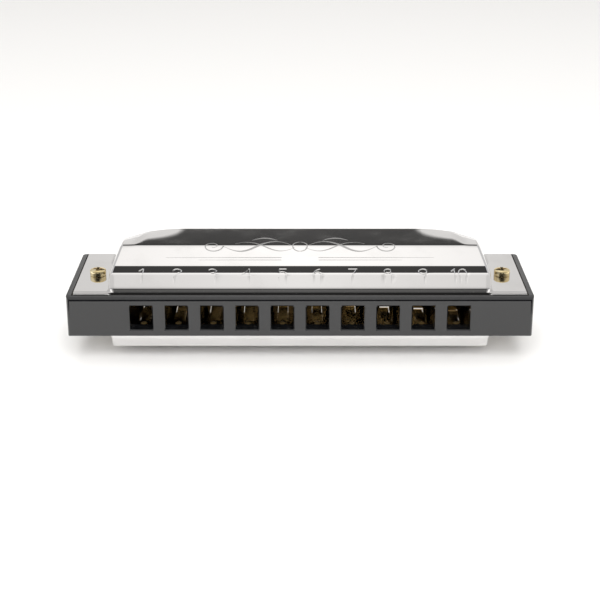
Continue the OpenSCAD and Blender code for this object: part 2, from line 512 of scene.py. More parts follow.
def rounded_path(corners: Sequence[Corner], step_deg: float = 4) -> np.ndarray:
    """Walks round an outline's corners on arcs.

    Args:
        corners: The outline's corners, of which the two ends are points.
        step_deg: Largest turn between two points of an arc.

    Returns:
        Points along the outline, as rows of (a, b).
    """
    places = [np.array([c.a, c.b]) for c in corners]
    path = [places[0]]
    for before, here, after, corner in zip(places, places[1:], places[2:], corners[1:], strict=False):
        inward = (before - here) / np.linalg.norm(before - here)
        onward = (after - here) / np.linalg.norm(after - here)
        turn = math.pi - math.acos(float(np.clip(inward @ onward, -1, 1)))
        if corner.radius <= 0 or turn < 1e-4:
            path.append(here)
            continue
        reach = corner.radius * math.tan(turn / 2)
        start, side = here + inward * reach, onward + inward
        centre = here + side / np.linalg.norm(side) * math.hypot(reach, corner.radius)
        first, last = start - centre, here + onward * reach - centre
        steps = max(3, math.ceil(min(math.degrees(turn) / step_deg, turn * corner.radius / FINEST_RUN)))
        for k in range(steps + 1):
            share = turn * k / steps
            weights = math.sin(turn - share) / math.sin(turn), math.sin(share) / math.sin(turn)
            path.append(centre + weights[0] * first + weights[1] * last)
    path.append(places[-1])
    return np.array(path)


def fill_in(path: np.ndarray, spacing: Callable[[np.ndarray], float]) -> np.ndarray:
    """Adds points to a path's long runs.

    Args:
        path: Points along a path.
        spacing: Gives the widest gap wanted at a point.

    Returns:
        The path with its long runs divided evenly.
    """
    filled = [path[0]]
    for p, q in zip(path, path[1:], strict=False):
        parts = max(1, math.ceil(np.linalg.norm(q - p) / spacing((p + q) / 2)))
        filled += [p + (q - p) * k / parts for k in range(1, parts + 1)]
    return np.array(filled)


def ease(t: np.ndarray) -> np.ndarray:
    """Smooth step from 0 to 1."""
    t = np.clip(t, 0, 1)
    return t * t * (3 - 2 * t)


# The numerals stamped over the holes: plain strokes in a box one unit high.


def stroke(*points: tuple[float, float]) -> np.ndarray:
    """A stroke through these points."""
    return np.array(points)


def bow(x: float, y: float, rx: float, ry: float, start: float, end: float) -> np.ndarray:
    """A curved stroke along part of an ellipse.

    Args:
        x: Centre across.
        y: Centre up.
        rx: Radius across.
        ry: Radius up.
        start: First angle, in degrees.
        end: Last angle.

    Returns:
        Points along the stroke.
    """
    turns = np.radians(np.linspace(start, end, 15))
    return np.stack([x + rx * np.cos(turns), y + ry * np.sin(turns)], axis=1)


NUMERALS: dict[str, list[np.ndarray]] = {
    "0": [bow(0, 0.5, 0.27, 0.5, 0, 360)],
    "1": [stroke((-0.16, 0.74), (0.06, 1), (0.06, 0))],
    "2": [np.vstack([bow(0, 0.73, 0.26, 0.27, 165, -35), stroke((-0.28, 0), (0.29, 0))])],
    "3": [bow(0, 0.75, 0.24, 0.25, 150, -90), bow(0, 0.25, 0.28, 0.25, 90, -150)],
    "4": [stroke((0.12, 0), (0.12, 1), (-0.3, 0.3), (0.3, 0.3))],
    "5": [np.vstack([stroke((0.24, 1), (-0.2, 1), (-0.23, 0.55)), bow(-0.01, 0.32, 0.28, 0.32, 130, -145)])],
    "6": [bow(0, 0.3, 0.27, 0.3, 0, 360), bow(0.27, 0.3, 0.54, 0.7, 180, 105)],
    "7": [stroke((-0.27, 1), (0.27, 1), (-0.1, 0))],
    "8": [bow(0, 0.76, 0.22, 0.24, 0, 360), bow(0, 0.26, 0.27, 0.26, 0, 360)],
    "9": [bow(0, 0.7, 0.27, 0.3, 0, 360), bow(-0.27, 0.7, 0.54, 0.7, 0, -75)],
}


def distance_to(strokes: Iterable[np.ndarray], points: np.ndarray) -> np.ndarray:
    """Distance from each point to the nearest stroke.

    Args:
        strokes: Strokes as rows of points.
        points: The points, as rows.

    Returns:
        One distance for each point.
    """
    nearest = np.full(len(points), np.inf)
    for line in strokes:
        for p, q in zip(line, line[1:], strict=False):
            along = q - p
            share = np.clip((points - p) @ along / max(along @ along, 1e-12), 0, 1)
            gap = np.linalg.norm(points - (p + share[:, None] * along), axis=1)
            nearest = np.minimum(nearest, gap)
    return nearest


# The two covers.


@dataclass
class PressedCover:
    """A cover pressed from thin sheet: an upright front edge, a stepped top, end flanges and a hemmed back.

    Sizes are in millimetres on the cover's deck.
    """

    name: str
    deck: Deck
    numbered: bool
    sheet: float = 0.45
    front: float = 1.5
    edge_lean: float = 15
    lip: float = 0.4
    flange: float = 0.45
    flange_back: float = 26.2
    bend: float = 0.35
    ledge: Corner = Corner(1.82, 1.2, 0.5)
    nose: Run = Run(1.455, 59, 0.9)
    bulge: Run = Run(0.78, 23, 3.2)
    shelf: Run = Run(3.37, 6, 2)
    slope: Run = Run(8, 14.5, 3.6)
    top_slope: float = 2.5
    back: float = 26.5
    brow_radius: float = 1.2
    brow_start: float = 25.2
    hem_drop: float = 2.0
    hem_depth: float = 1.0
    hem_radius: float = 0.5
    hem_tilt: float = 0.1
    span: float = 40.75
    wall_foot: float = 42.3
    wall_lean: float = 25
    nose_lean: float = 7
    end_taper: float = 8
    taper_y: float = 13.6
    crown_flat: float = 24.8
    crown_radius: float = 39.5
    crown_back: float = 26.3
    crown_start: tuple[float, float] = (15.6, 14.8)
    crown_power: tuple[float, float] = (4, 1.7)
    crown_change: tuple[float, float] = (33.5, 37)
    top_rounding: float = 1.1
    foot_rounding: float = 0.35
    plan_corner: float = 1.4
    plan_reach: float = 5.0
    flange_end: float = 48.05
    column_gaps: tuple[tuple[float, float], ...] = ((0, 0.9), (34, 0.4), (37.4, 0.14), (42.7, 0.7))
    numeral_y: float = 2.8
    numeral_size: tuple[float, float] = (3.2, 3.7)
    numeral_width: float = 2.0
    two_figures: float = 1.95
    numeral_line: float = 0.26
    numeral_depth: float = 0.05
    numeral_gap: float = 1.9
    numeral_window: tuple[float, float] = (0.6, 0.75)
    stroke_edge: float = 1.25
    stroke_fall: float = 0.9
    fine: float = 0.115
    row_gap: float = 0.9
    hem_gap: float = 0.6
    bend_steps: int = 5
    even_from: float = 0.1
    even_over: float = 0.5
    hem_fade: float = 2.5

    def profile(self) -> tuple[np.ndarray, np.ndarray]:
        """The press's outline from front to back.

        Returns:
            Points up to the brow as (y, height), and then those of the brow and hem, measured from where the
            brow starts.
        """
        corners = [self.ledge]
        for run in (self.nose, self.bulge, self.shelf, self.slope):
            corners.append(run.after(corners[-1]))
        shoulder = corners[-1]
        start = Run(self.brow_start - shoulder.a, self.top_slope).after(shoulder)
        brow = Run(self.back - shoulder.a, self.top_slope, self.brow_radius).after(shoulder)
        fold = Corner(brow.a, brow.b - self.hem_drop, self.hem_radius)
        end = Corner(fold.a - self.hem_depth, fold.b - self.hem_tilt)
        top = rounded_path([Corner(self.edge_at(self.flange), self.flange), *corners, start])
        hem = rounded_path([start, brow, fold, end], step_deg=9)
        return fill_in(top, self.row_spacing), fill_in(hem - hem[0], lambda place: self.hem_gap)

    def row_spacing(self, place: np.ndarray) -> float:
        """Widest gap between rows at a point of the profile, fine where numerals are stamped."""
        stamped = self.numeral_y - 0.2 < place[0] < self.numeral_y + self.numeral_size[1]
        return self.fine if self.numbered and stamped else self.row_gap

    def edge_at(self, height: float) -> float:
        """How far back the steep front edge stands at a height."""
        return self.front + max(height + self.lip / 2, 0) * math.tan(math.radians(self.edge_lean))

    def heights(self, x: np.ndarray, y: np.ndarray, press: np.ndarray | float) -> np.ndarray:
        """Height of the cover's outside: the press's profile, with its ends falling away and walled off.

        Args:
            x: Distances from the middle.
            y: Distances behind the mouthpiece face.
            press: The profile's height.

        Returns:
            The heights, with the creases between the surfaces rounded off.
        """
        aside = np.abs(x)
        reach = np.clip(aside - self.crown_flat, 0, self.crown_radius * 0.5)
        drop = self.crown_radius - np.sqrt(self.crown_radius**2 - reach**2)
        change = ease((aside - self.crown_change[0]) / (self.crown_change[1] - self.crown_change[0]))
        start = self.crown_start[0] + (self.crown_start[1] - self.crown_start[0]) * change
        power = self.crown_power[0] + (self.crown_power[1] - self.crown_power[0]) * change
        crown = press - drop * np.clip((y - start) / (self.crown_back - start), 0, 1.02) ** power
        wall = (self.wall_foot - aside) / math.tan(math.radians(self.wall_lean))
        taper = np.clip(self.taper_y - y, 0, None) * math.tan(math.radians(self.end_taper))
        nose = (self.wall_foot - taper - aside) / math.tan(math.radians(self.nose_lean))
        wall = self.lower_of(wall, nose, self.top_rounding)
        wall = -self.lower_of(-wall, np.full_like(wall, -self.flange), self.foot_rounding)
        return np.maximum(self.lower_of(crown, wall, self.top_rounding), self.flange)

    @staticmethod
    def lower_of(a: np.ndarray | float, b: np.ndarray, rounding: float) -> np.ndarray:
        """The lower of two surfaces, rounded off where they cross."""
        share = np.clip(0.5 + 0.5 * (b - a) / rounding, 0, 1)
        return b + (a - b) * share - rounding * share * (1 - share)

    def columns(self) -> np.ndarray:
        """Where the sheet's columns stand along X.

        Returns:
            Distances from the middle, in order.
        """
        ends = [start for start, _ in self.column_gaps[1:]] + [self.flange_end]
        half = [
            np.linspace(start, end, math.ceil((end - start) / gap) + 1)
            for (start, gap), end in zip(self.column_gaps, ends, strict=True)
        ]
        places = np.concatenate([sign * part for part in half for sign in (-1, 1)])
        if self.numbered:
            for number in range(1, HOLES + 1):
                x = hole_x(number)
                reach = self.numeral_width / 2 * (self.two_figures if number == HOLES else 1)
                places = places[np.abs(places - x) > reach]
                places = np.append(places, np.arange(x - reach, x + reach, self.fine))
        return np.unique(places.round(4))

    def pressed_points(self) -> np.ndarray:
        """Lays the blank over the press.

        Returns:
            Points in deck millimetres, as rows, columns and (x, y, height).
        """
        top, hem = self.profile()
        x = self.columns()
        into = np.clip(np.abs(x) - (self.span - self.plan_corner), 0, self.plan_corner)
        shift = self.plan_corner - np.sqrt(self.plan_corner**2 - into**2)
        flat = shift / self.plan_corner
        turns = np.radians(np.linspace(0, 90, self.bend_steps + 1)[1:])
        lip = [(0, -self.lip), (0, -self.lip / 2), (0, -self.lip / 3), (0, self.flange - self.bend)]
        lip += [(self.bend * (1 - math.cos(t)), self.flange - self.bend * (1 - math.sin(t))) for t in turns]
        edge = []
        for bent, z in lip:
            y = self.edge_at(z) * (1 - flat) + (self.front + bent) * flat
            edge.append(np.stack([x, y, np.full_like(x, z)], axis=1))
        bent = edge[-1][:, 1]
        foot = np.maximum(self.edge_at(self.flange) + shift, bent)
        level = np.full_like(x, self.flange)
        sheet = [(bent + t * (foot - bent), level) for t in (0.33, 0.67)]
        for y, z in top:
            fade = np.clip(1 - (y - self.front) / self.plan_reach, 0, 1) ** 2
            place = y + (foot - self.edge_at(self.flange)) * fade
            sheet.append((place, self.heights(x, place, z)))
        even = ease((np.abs(x) - self.span + self.even_from) / self.even_over)
        rows = []
        for k, (y, z) in enumerate(sheet, start=1):
            spread = bent + (self.brow_start - bent) * k / len(sheet)
            rows.append(np.stack([x, y + (spread - y) * even, z], axis=1))
        end = rows[-1]
        raised = ease((end[:, 2] - self.flange) / self.hem_fade)
        for k, (dy, dz) in enumerate(hem[1:], start=1):
            run = (self.flange_back - self.brow_start) * k / (len(hem) - 1)
            y = end[:, 1] + raised * dy + (1 - raised) * run
            rows.append(np.stack([x, y, end[:, 2] + raised * dz], axis=1))
        return np.array(edge + rows)

    def stamp(self, grid: np.ndarray) -> np.ndarray:
        """Presses the numerals into the blank.

        Args:
            grid: The pressed points.

        Returns:
            The points, lowered along the strokes.
        """
        normal = np.cross(np.gradient(grid, axis=1), np.gradient(grid, axis=0))
        normal /= np.maximum(np.linalg.norm(normal, axis=2, keepdims=True), 1e-9)
        section = grid[:, grid.shape[1] // 2, 1:]
        run = np.append(0, np.cumsum(np.linalg.norm(np.diff(section, axis=0), axis=1)))
        run -= np.interp(self.numeral_y, section[:, 0], run)
        laid = np.repeat(run[:, None], grid.shape[1], axis=1)
        depth = np.zeros(grid.shape[:2])
        for number in range(1, HOLES + 1):
            text = str(number)
            for k, character in enumerate(text):
                middle = hole_x(number) + (k - (len(text) - 1) / 2) * self.numeral_gap
                flat = np.stack([grid[:, :, 0] - middle, laid], axis=2) / self.numeral_size
                near = np.all(np.abs(flat - (0, 0.5)) < self.numeral_window, axis=2)
                lines = [line * self.numeral_size for line in NUMERALS[character]]
                gap = distance_to(lines, flat[near] * self.numeral_size)
                pressed = ease(self.stroke_edge - gap / (self.numeral_line / 2) * self.stroke_fall)
                depth[near] = np.maximum(depth[near], pressed)
        return grid - normal * depth[:, :, None] * self.numeral_depth

    def build(self, screw: CoverScrew) -> bpy.types.Object:
        """Presses, thickens and bores the sheet.

        Args:
            screw: The screw that passes through it at each end.

        Returns:
            The cover.
        """
        grid = self.pressed_points()
        if self.numbered:
            grid = self.stamp(grid)
        ny, nx = grid.shape[:2]
        log.info("%d rows, %d columns", ny, nx)
        lay_down()
        bpy.ops.mesh.primitive_grid_add(x_subdivisions=nx - 1, y_subdivisions=ny - 1, size=2)
        cover = bpy.context.object
        cover.name = cover.data.name = self.name
        flat = np.empty(len(cover.data.vertices) * 3)
        cover.data.vertices.foreach_get("co", flat)
        column = ((flat[0::3] + 1) / 2 * (nx - 1)).round().astype(int)
        row = ((flat[1::3] + 1) / 2 * (ny - 1)).round().astype(int)
        zero = np.array(BENCH.at(0, 0, 0))
        cover.data.vertices.foreach_set("co", (grid[row, column] * MM + zero).ravel())
        with editing(cover):
            bpy.ops.mesh.select_all(action="SELECT")
            bpy.ops.mesh.remove_doubles(threshold=DOUBLES)
        thicken = cover.modifiers.new("sheet", "SOLIDIFY")
        thicken.thickness, thicken.offset = self.sheet * MM, -1
        thicken.use_rim = True
        finish_modifiers(cover)
        places = [BENCH.at(x, screw.y, -1) for x in (-screw.x, screw.x)]
        cut(cover, [cylinder("bore", screw.bore * MM, place, 3 * MM) for place in places], "MANIFOLD")
        if self.deck is Deck.LOWER:
            to_lower_deck(cover)
        return smooth(cover, 50)

    def height_at(self, x: np.ndarray, y: np.ndarray) -> np.ndarray:
        """Height of the cover's outside over points well inside it.

        Args:
            x: Distances from the middle.
            y: Distances behind the mouthpiece face.

        Returns:
            The heights.
        """
        top, _ = self.profile()
        return self.heights(x, y, np.interp(y, top[:, 0], top[:, 1]))


# The comb and what lies on it.


@dataclass
class Comb:
    """The moulded comb: ten square mouth holes, a chamber behind each, and a recess for each reed plate."""

    name: str = "comb_body"
    upright_radius: float = 1.0
    brow_radius: float = 1.18
    chin_radius: float = 0.3
    rim_radius: float = 0.3
    side_rim: float = 1.0
    front_rim: float = 1.2
    back_rim: float = 0.8
    recess: float = 0.9
    recess_corner: float = 0.3
    side_band: float = 1.2
    front_band: float = 0.9
    overrun: float = 1.5
    hole_width: float = 4.8
    hole_height: float = 5.4
    hole_drop: float = 0.3
    hole_corner: float = 0.25
    mouth_chamfer: float = 0.22
    mouth_wall: float = 3.2
    chamber_width: float = 5.2
    chamber_corner: float = 0.5
    chamber_spare: float = 0.9
    pilot_radius: float = 0.73
    pilot_depth: float = 3.3

    def build(self, plate_screws: PlateScrews, cover_screw: CoverScrew) -> bpy.types.Object:
        """Moulds the comb.

        Args:
            plate_screws: The screws that its pilot holes are for.
            cover_screw: The screw that passes through it at each end.

        Returns:
            The comb.
        """
        comb = cube(self.name, BENCH.low, BENCH.high)
        self.round_outside(comb)
        recesses = [self.recess_block(), to_lower_deck(self.recess_block())]
        cut(comb, recesses)
        self.sink_mouths(comb)
        cut(comb, [self.chamber(number) for number in range(1, HOLES + 1)])
        bores = [
            cylinder("bore", cover_screw.bore * MM, BENCH.at(x, cover_screw.y, -10), 12 * MM)
            for x in (-cover_screw.x, cover_screw.x)
        ]
        low_ends = [BENCH.at(x, y, -self.recess - self.pilot_depth) for x, y in plate_screws.places]
        pilots = [cylinder("pilot", self.pilot_radius * MM, low_end, 4 * MM, 24) for low_end in low_ends]
        cut(comb, bores + pilots + [to_lower_deck(copy_of(pilot, "lower_pilot")) for pilot in pilots])
        turn_outwards(comb)
        return even_shading(comb)

    def round_outside(self, comb: bpy.types.Object) -> None:
        """Rounds the upright corners and then the edges round both faces."""
        round_edges(comb, is_upright, self.upright_radius * MM, 6)
        cut(comb, [self.edge_cutter(self.brow_radius), to_lower_deck(self.edge_cutter(self.chin_radius))])
        round_edges(comb, lambda p, q: p.z > BENCH.middle and self.on_outline(p, q), self.rim_radius * MM, 4)
        round_edges(comb, lambda p, q: p.z < BENCH.middle and self.on_outline(p, q), self.rim_radius * MM, 4)

    def edge_cutter(self, radius: float) -> bpy.types.Object:
        """What is planed off the comb's long upper front edge to round it."""
        reach = BENCH.high.x / MM + self.overrun
        cutter = cube("edge_cutter", BENCH.at(-reach, -0.3, -radius), BENCH.at(reach, radius, 0.3))
        rod = cylinder("rod", radius * MM, Vector((0, 0, -1 - reach)) * MM, 2 * (reach + 1) * MM, 72)
        lying = Matrix.Rotation(math.pi / 2, 4, "Y")
        rod.data.transform(Matrix.Translation(BENCH.at(0, radius, -radius)) @ lying)
        cut(cutter, [rod])
        return cutter

    def on_outline(self, p: Vector, q: Vector) -> bool:
        """Whether an edge ends on the comb's faces and follows its sides or back."""
        face = BENCH.high.z - BENCH.middle - 10 * SAME
        on_faces = all(abs(v.z - BENCH.middle) > face for v in (p, q))
        behind = min(p.y, q.y) > BENCH.low.y + self.front_band * MM
        at_side = all(abs(v.x) > BENCH.high.x - self.side_band * MM for v in (p, q))
        at_back = all(v.y > BENCH.high.y - SAME for v in (p, q))
        return on_faces and behind and (at_side or at_back)

    def recess_block(self) -> bpy.types.Object:
        """A block the size of the upper plate's recess."""
        x = BENCH.high.x / MM - self.side_rim
        depth = (BENCH.high.y - BENCH.low.y) / MM - self.back_rim
        block = cube("recess", BENCH.at(-x, self.front_rim, -self.recess), BENCH.at(x, depth, 1))
        round_edges(block, is_upright, self.recess_corner * MM)
        return block

    def sink_mouths(self, comb: bpy.types.Object) -> None:
        """Cuts the ten mouth holes, each with a chamfered edge."""
        half_w, half_h = self.hole_width / 2, self.hole_height / 2
        centre = (BENCH.middle - BENCH.high.z) / MM - self.hole_drop
        mouths = []
        for number in range(1, HOLES + 1):
            x = hole_x(number)
            low = BENCH.at(x - half_w, self.mouth_chamfer, centre - half_h)
            mouth = cube("mouth", low, BENCH.at(x + half_w, self.mouth_wall + 0.4, centre + half_h))
            round_edges(mouth, runs_back, self.hole_corner * MM)
            select_faces(mouth, lambda c, n: n.y < -0.9)
            flare = 4 * self.mouth_chamfer
            wider = 1 + flare / self.hole_width, 1, 1 + flare / self.hole_height
            step = {"value": (0, -2 * self.mouth_chamfer * MM, 0)}
            middle = x * MM, low.y, BENCH.middle - self.hole_drop * MM
            with editing(mouth, "FACE"):
                bpy.ops.mesh.extrude_region_move(TRANSFORM_OT_translate=step)
                bpy.ops.transform.resize(value=wider, center_override=middle)
            mouths.append(mouth)
        cut(comb, mouths)

    def chamber(self, number: int) -> bpy.types.Object:
        """A block the size of the air chamber behind a hole, as long as that hole's reeds need."""
        x = hole_x(number)
        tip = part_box(f"{Air.BLOW.value}_reed_{number}_tongue")[1][1] / MM - BENCH.low.y / MM
        half = self.chamber_width / 2
        low = BENCH.at(x - half, self.mouth_wall, (BENCH.low.z - BENCH.high.z) / MM - 0.6)
        block = cube("chamber", low, BENCH.at(x + half, tip + self.chamber_spare, 0.6))
        round_edges(block, is_upright, self.chamber_corner * MM, 4)
        return block


@dataclass
class PlateScrews:
    """The five pan-head screws that hold one reed plate in its recess."""

    deck: Deck
    places: tuple[tuple[float, float], ...] = ((-38.7, 7), (-38.7, 21), (38.7, 7), (38.7, 21), (15, 24.4))
    head_radius: float = 1.35
    head_height: float = 0.7
    head_edge: float = 0.2
    radius: float = 0.7
    length: float = 4.2
    tip: float = 0.35
    plain_shank: float = 0.85
    thread_pitch: float = 0.45
    thread_depth: float = 0.12
    bore: float = 0.85
    cross: CrossRecess = CrossRecess(1.5, 0.34, 0.4)

    def build(self) -> bpy.types.Object:
        """Turns one screw and copies it to its places.

        Returns:
            The screws of one plate, as one piece.
        """
        outline = [
            (0, -self.length),
            (self.radius - 0.25, -self.length + self.tip),
            *threads(self.radius, -self.length + 0.5, -0.9, self.thread_pitch, self.thread_depth),
            (self.radius, -self.plain_shank),
            (self.radius, 0),
            (self.head_radius, 0),
            (self.head_radius, self.head_edge - 0.05),
            *domed(self.head_radius - 0.03, self.head_height - self.head_edge, self.head_edge),
        ]
        screw = turned("plate_screw", outline, 28)
        self.cross.sink(screw, self.head_height)
        screws = [copy_of(screw, "plate_screw_copy", BENCH.at(x, y, 0)) for x, y in self.places]
        bpy.data.objects.remove(screw)
        group = join(screws, f"{self.deck.value}_plate_screw_set")
        if self.deck is Deck.LOWER:
            to_lower_deck(group)
        return smooth(group, 30)


@dataclass
class CoverScrew:
    """The screw with a tall rounded head that clamps both covers at one end."""

    side: str = "left"
    x: float = 44.15
    y: float = 12.5
    seat: float = 0.45
    head_radius: float = 1.75
    head_height: float = 1.45
    head_rounding: float = 0.32
    radius: float = 1.0
    clearance: float = 0.15
    length: float = 11.4
    plain_shank: float = 1.5
    thread_pitch: float = 0.4
    thread_depth: float = 0.13
    cross: CrossRecess = CrossRecess(2.3, 0.62, 0.8)

    @property
    def bore(self) -> float:
        """Radius of the holes that the screw passes through."""
        return self.radius + self.clearance

    @property
    def place_x(self) -> float:
        """Where the screw stands along X."""
        return -self.x if self.side == "left" else self.x

    def build(self) -> bpy.types.Object:
        """Turns the screw, cuts its cross and puts it in its place.

        Returns:
            The screw.
        """
        edge, bend = self.head_radius, self.head_rounding
        rounding = [(edge - bend + bend * math.cos(t), 1.0 + bend * math.sin(t)) for t in (0, 0.4, 0.8, 1.2)]
        outline = [
            (0, -self.length),
            (self.radius - 0.15, -self.length),
            *threads(self.radius, -self.length + 0.15, -1.6, self.thread_pitch, self.thread_depth),
            (self.radius, -self.plain_shank),
            (self.radius, 0),
            (edge - 0.16, 0),
            (edge - 0.14, 0.06),
            (edge, 0.16),
            *rounding,
            (edge * 0.66, 1.4),
            (edge * 0.33, self.head_height - 0.01),
            (0, self.head_height),
        ]
        screw = turned(f"{self.side}_cover_screw_turned", outline, 44)
        self.cross.sink(screw, self.head_height)
        screw.location = BENCH.at(self.place_x, self.y, self.seat)
        return smooth(settle(screw), 30)


@dataclass
class CoverNut:
    """The chamfered hexagon nut under one end of the lower cover."""

    side: str = "left"
    radius: float = 1.9
    height: float = 1.6
    chamfer: float = 0.22
    bore: float = 1.03

    def build(self, screw: CoverScrew) -> bpy.types.Object:
        """Turns a chamfered disc, cuts its six flats and bores it.

        Args:
            screw: The screw that the nut runs on.

        Returns:
            The nut.
        """
        r, c, h = self.radius, self.chamfer, self.height
        outline = [(0, 0), (r - c, 0), (r, c * 0.6), (r, h - c * 0.6), (r - c, h), (0, h)]
        nut = turned(f"{self.side}_cover_nut_hexagon", outline, 60)
        for k in range(6):
            turn = math.pi / 3 * k
            away = Vector((math.cos(turn), math.sin(turn), 0))
            with editing(nut):
                bpy.ops.mesh.select_all(action="SELECT")
                flat = away * r * math.cos(math.pi / 6) * MM
                bpy.ops.mesh.bisect(
                    plane_co=flat, plane_no=away, use_fill=True, clear_outer=True, threshold=DOUBLES
                )
        cut(nut, [cylinder("bore", self.bore * MM, Vector((0, 0, -MM)), (h + 2) * MM, 40)])
        turn_outwards(nut)
        nut.location = BENCH.at(screw.place_x, screw.y, screw.seat)
        return smooth(to_lower_deck(settle(nut)), 25)


@dataclass
class ReedPlate:
    """A rolled brass plate with a slot, a rivet hole and a reed for each note."""

    deck: Deck
    clearance: float = 0.06
    rivet_bore: float = 0.52
    edge: float = 0.05

    @property
    def air(self) -> Air:
        """The breath whose reeds this plate carries."""
        return Air.BLOW if self.deck is Deck.UPPER else Air.DRAW

    def build(self, plate_screws: PlateScrews, cover_screw: CoverScrew) -> bpy.types.Object:
        """Cuts and drills the plate.

        Args:
            plate_screws: The screws that hold it.
            cover_screw: The screw that passes through it at each end.

        Returns:
            The plate.
        """
        low, high = (Vector(corner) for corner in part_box(f"{self.deck.value}_reed_plate"))
        plate = cube(f"{self.deck.value}_reed_plate_cut", low, high)
        round_edges(plate, is_upright, 0.4 * MM)
        cutters = []
        for number in range(1, HOLES + 1):
            foot, tongue = (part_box(f"{self.air.value}_reed_{number}_{part}") for part in ("foot", "tongue"))
            gap = self.clearance * MM
            start = Vector((tongue[0][0] - gap, foot[1][1], low.z - MM))
            end = Vector((tongue[1][0] + gap, tongue[1][1] + 2 * gap, high.z + MM))
            cutters.append(cube("slot", start, end))
        rivets = [Vector(c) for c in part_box(f"{self.deck.value}_rivets")]
        rivet_y = (rivets[0].y + rivets[1].y) / 2
        screw_y = BENCH.low.y + cover_screw.y * MM
        holes = [(hole_x(n) * MM, rivet_y, self.rivet_bore) for n in range(1, HOLES + 1)]
        holes += [(x * MM, BENCH.low.y + y * MM, plate_screws.bore) for x, y in plate_screws.places]
        holes += [(x * MM, screw_y, cover_screw.bore) for x in (-cover_screw.x, cover_screw.x)]
        through = high.z - low.z + 2 * MM
        for x, y, radius in holes:
            cutters.append(cylinder("hole", radius * MM, Vector((x, y, low.z - MM)), through, 32))
        cut(plate, cutters)
        turn_outwards(plate)
        break_edges(plate, self.edge * MM)
        return even_shading(plate)


@dataclass
class Rivets:
    """The ten domed rivets that hold one plate's reeds."""

    deck: Deck
    head_radius: float = 0.85
    head_height: float = 0.3
    radius: float = 0.5
    tail_radius: float = 0.7
    tail_height: float = 0.15

    def build(self) -> bpy.types.Object:
        """Turns one rivet, head down, and copies it to every reed.

        Returns:
            The rivets of one plate, as one piece.
        """
        low, high = (Vector(corner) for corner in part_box(f"{self.deck.value}_rivets"))
        tall = (high.z - low.z) / MM
        neck, shoulder = self.head_height, tall - self.tail_height
        crown = domed(self.head_radius, self.head_height - 0.05, 0)
        dome = [(r, neck - 0.05 - z) for r, z in reversed(crown)]
        outline = [
            *dome,
            (self.head_radius, neck),
            (self.radius, neck),
            (self.radius, shoulder),
            (self.tail_radius, shoulder),
            *domed(self.tail_radius, self.tail_height - 0.03, shoulder + 0.03, 3),
        ]
        rivet = turned("rivet", outline, 24)
        y = (low.y + high.y) / 2
        places = [Vector((hole_x(number) * MM, y, low.z)) for number in range(1, HOLES + 1)]
        copies = [copy_of(rivet, "rivet_copy", place) for place in places]
        bpy.data.objects.remove(rivet)
        return smooth(join(copies, f"{self.deck.value}_rivet_set"), 40)


@dataclass
class Reed:
    """One reed, cut from a strip: a riveted foot, narrow shoulders and a thinned tongue that springs."""

    air: Air
    number: int
    foot_corner: float = 0.45
    segments: int = 12
    tip_lift: float = 0.16
    thinning: float = 0.35
    bore: float = 0.52

    @property
    def title(self) -> str:
        """The reed's name in the frame."""
        return f"{self.air.value}_reed_{self.number}"

    def build(self) -> bpy.types.Object:
        """Cuts the strip and sets its tip a little off the plate.

        Returns:
            The reed.
        """
        foot, tongue = ([Vector(c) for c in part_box(f"{self.title}_{part}")] for part in ("foot", "tongue"))
        reed = cube(f"{self.title}_strip", *foot)
        round_edges(reed, lambda p, q: is_upright(p, q) and p.y < foot[0].y + SAME, self.foot_corner * MM, 4)
        narrow = (tongue[1].x - tongue[0].x) / (foot[1].x - foot[0].x)
        centre = (foot[0] + foot[1]) / 2
        select_faces(reed, lambda c, n: n.y > 0.9)
        shoulders = Vector((0, tongue[0].y - foot[1].y, 0))
        step = Vector((0, (tongue[1].y - tongue[0].y) / self.segments, 0))
        with editing(reed, "FACE"):
            bpy.ops.mesh.extrude_region_move(TRANSFORM_OT_translate={"value": shoulders})
            bpy.ops.transform.resize(value=(narrow, 1, 1), center_override=(centre.x, tongue[0].y, centre.z))
            for _ in range(self.segments):
                bpy.ops.mesh.extrude_region_move(TRANSFORM_OT_translate={"value": step})
        self.spring(reed, foot[1].y, tongue[1].y, centre.z)
        rivet_y = sum(c[1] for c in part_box(f"{self.air.deck.value}_rivets")) / 2
        bore_low = Vector((centre.x, rivet_y, foot[0].z - MM))
        cut(reed, [cylinder("bore", self.bore * MM, bore_low, 3 * MM, 24)], "MANIFOLD")
        return smooth(reed, 40)

    def spring(self, reed: bpy.types.Object, root: float, tip: float, middle: float) -> None:
        """Thins the tongue from its free side and bends it off the plate towards its tip."""
        for vertex in reed.data.vertices:
            share = max(0.0, (vertex.co.y - root) / (tip - root))
            if vertex.co.z < middle:
                vertex.co.z += (middle - vertex.co.z) * self.thinning * min(1, 1.6 * share)
            vertex.co.z -= self.tip_lift * MM * share**2

    def hang(self, reed: bpy.types.Object) -> None:
        """Hides the frame's foot and tongue that the reed stands in for, and moves the reed's place into its
        mesh.
        """
        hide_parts(f"{self.title}_foot", f"{self.title}_tongue")
        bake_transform(reed)


# Finishes.


Inputs = dict[str | int, object]


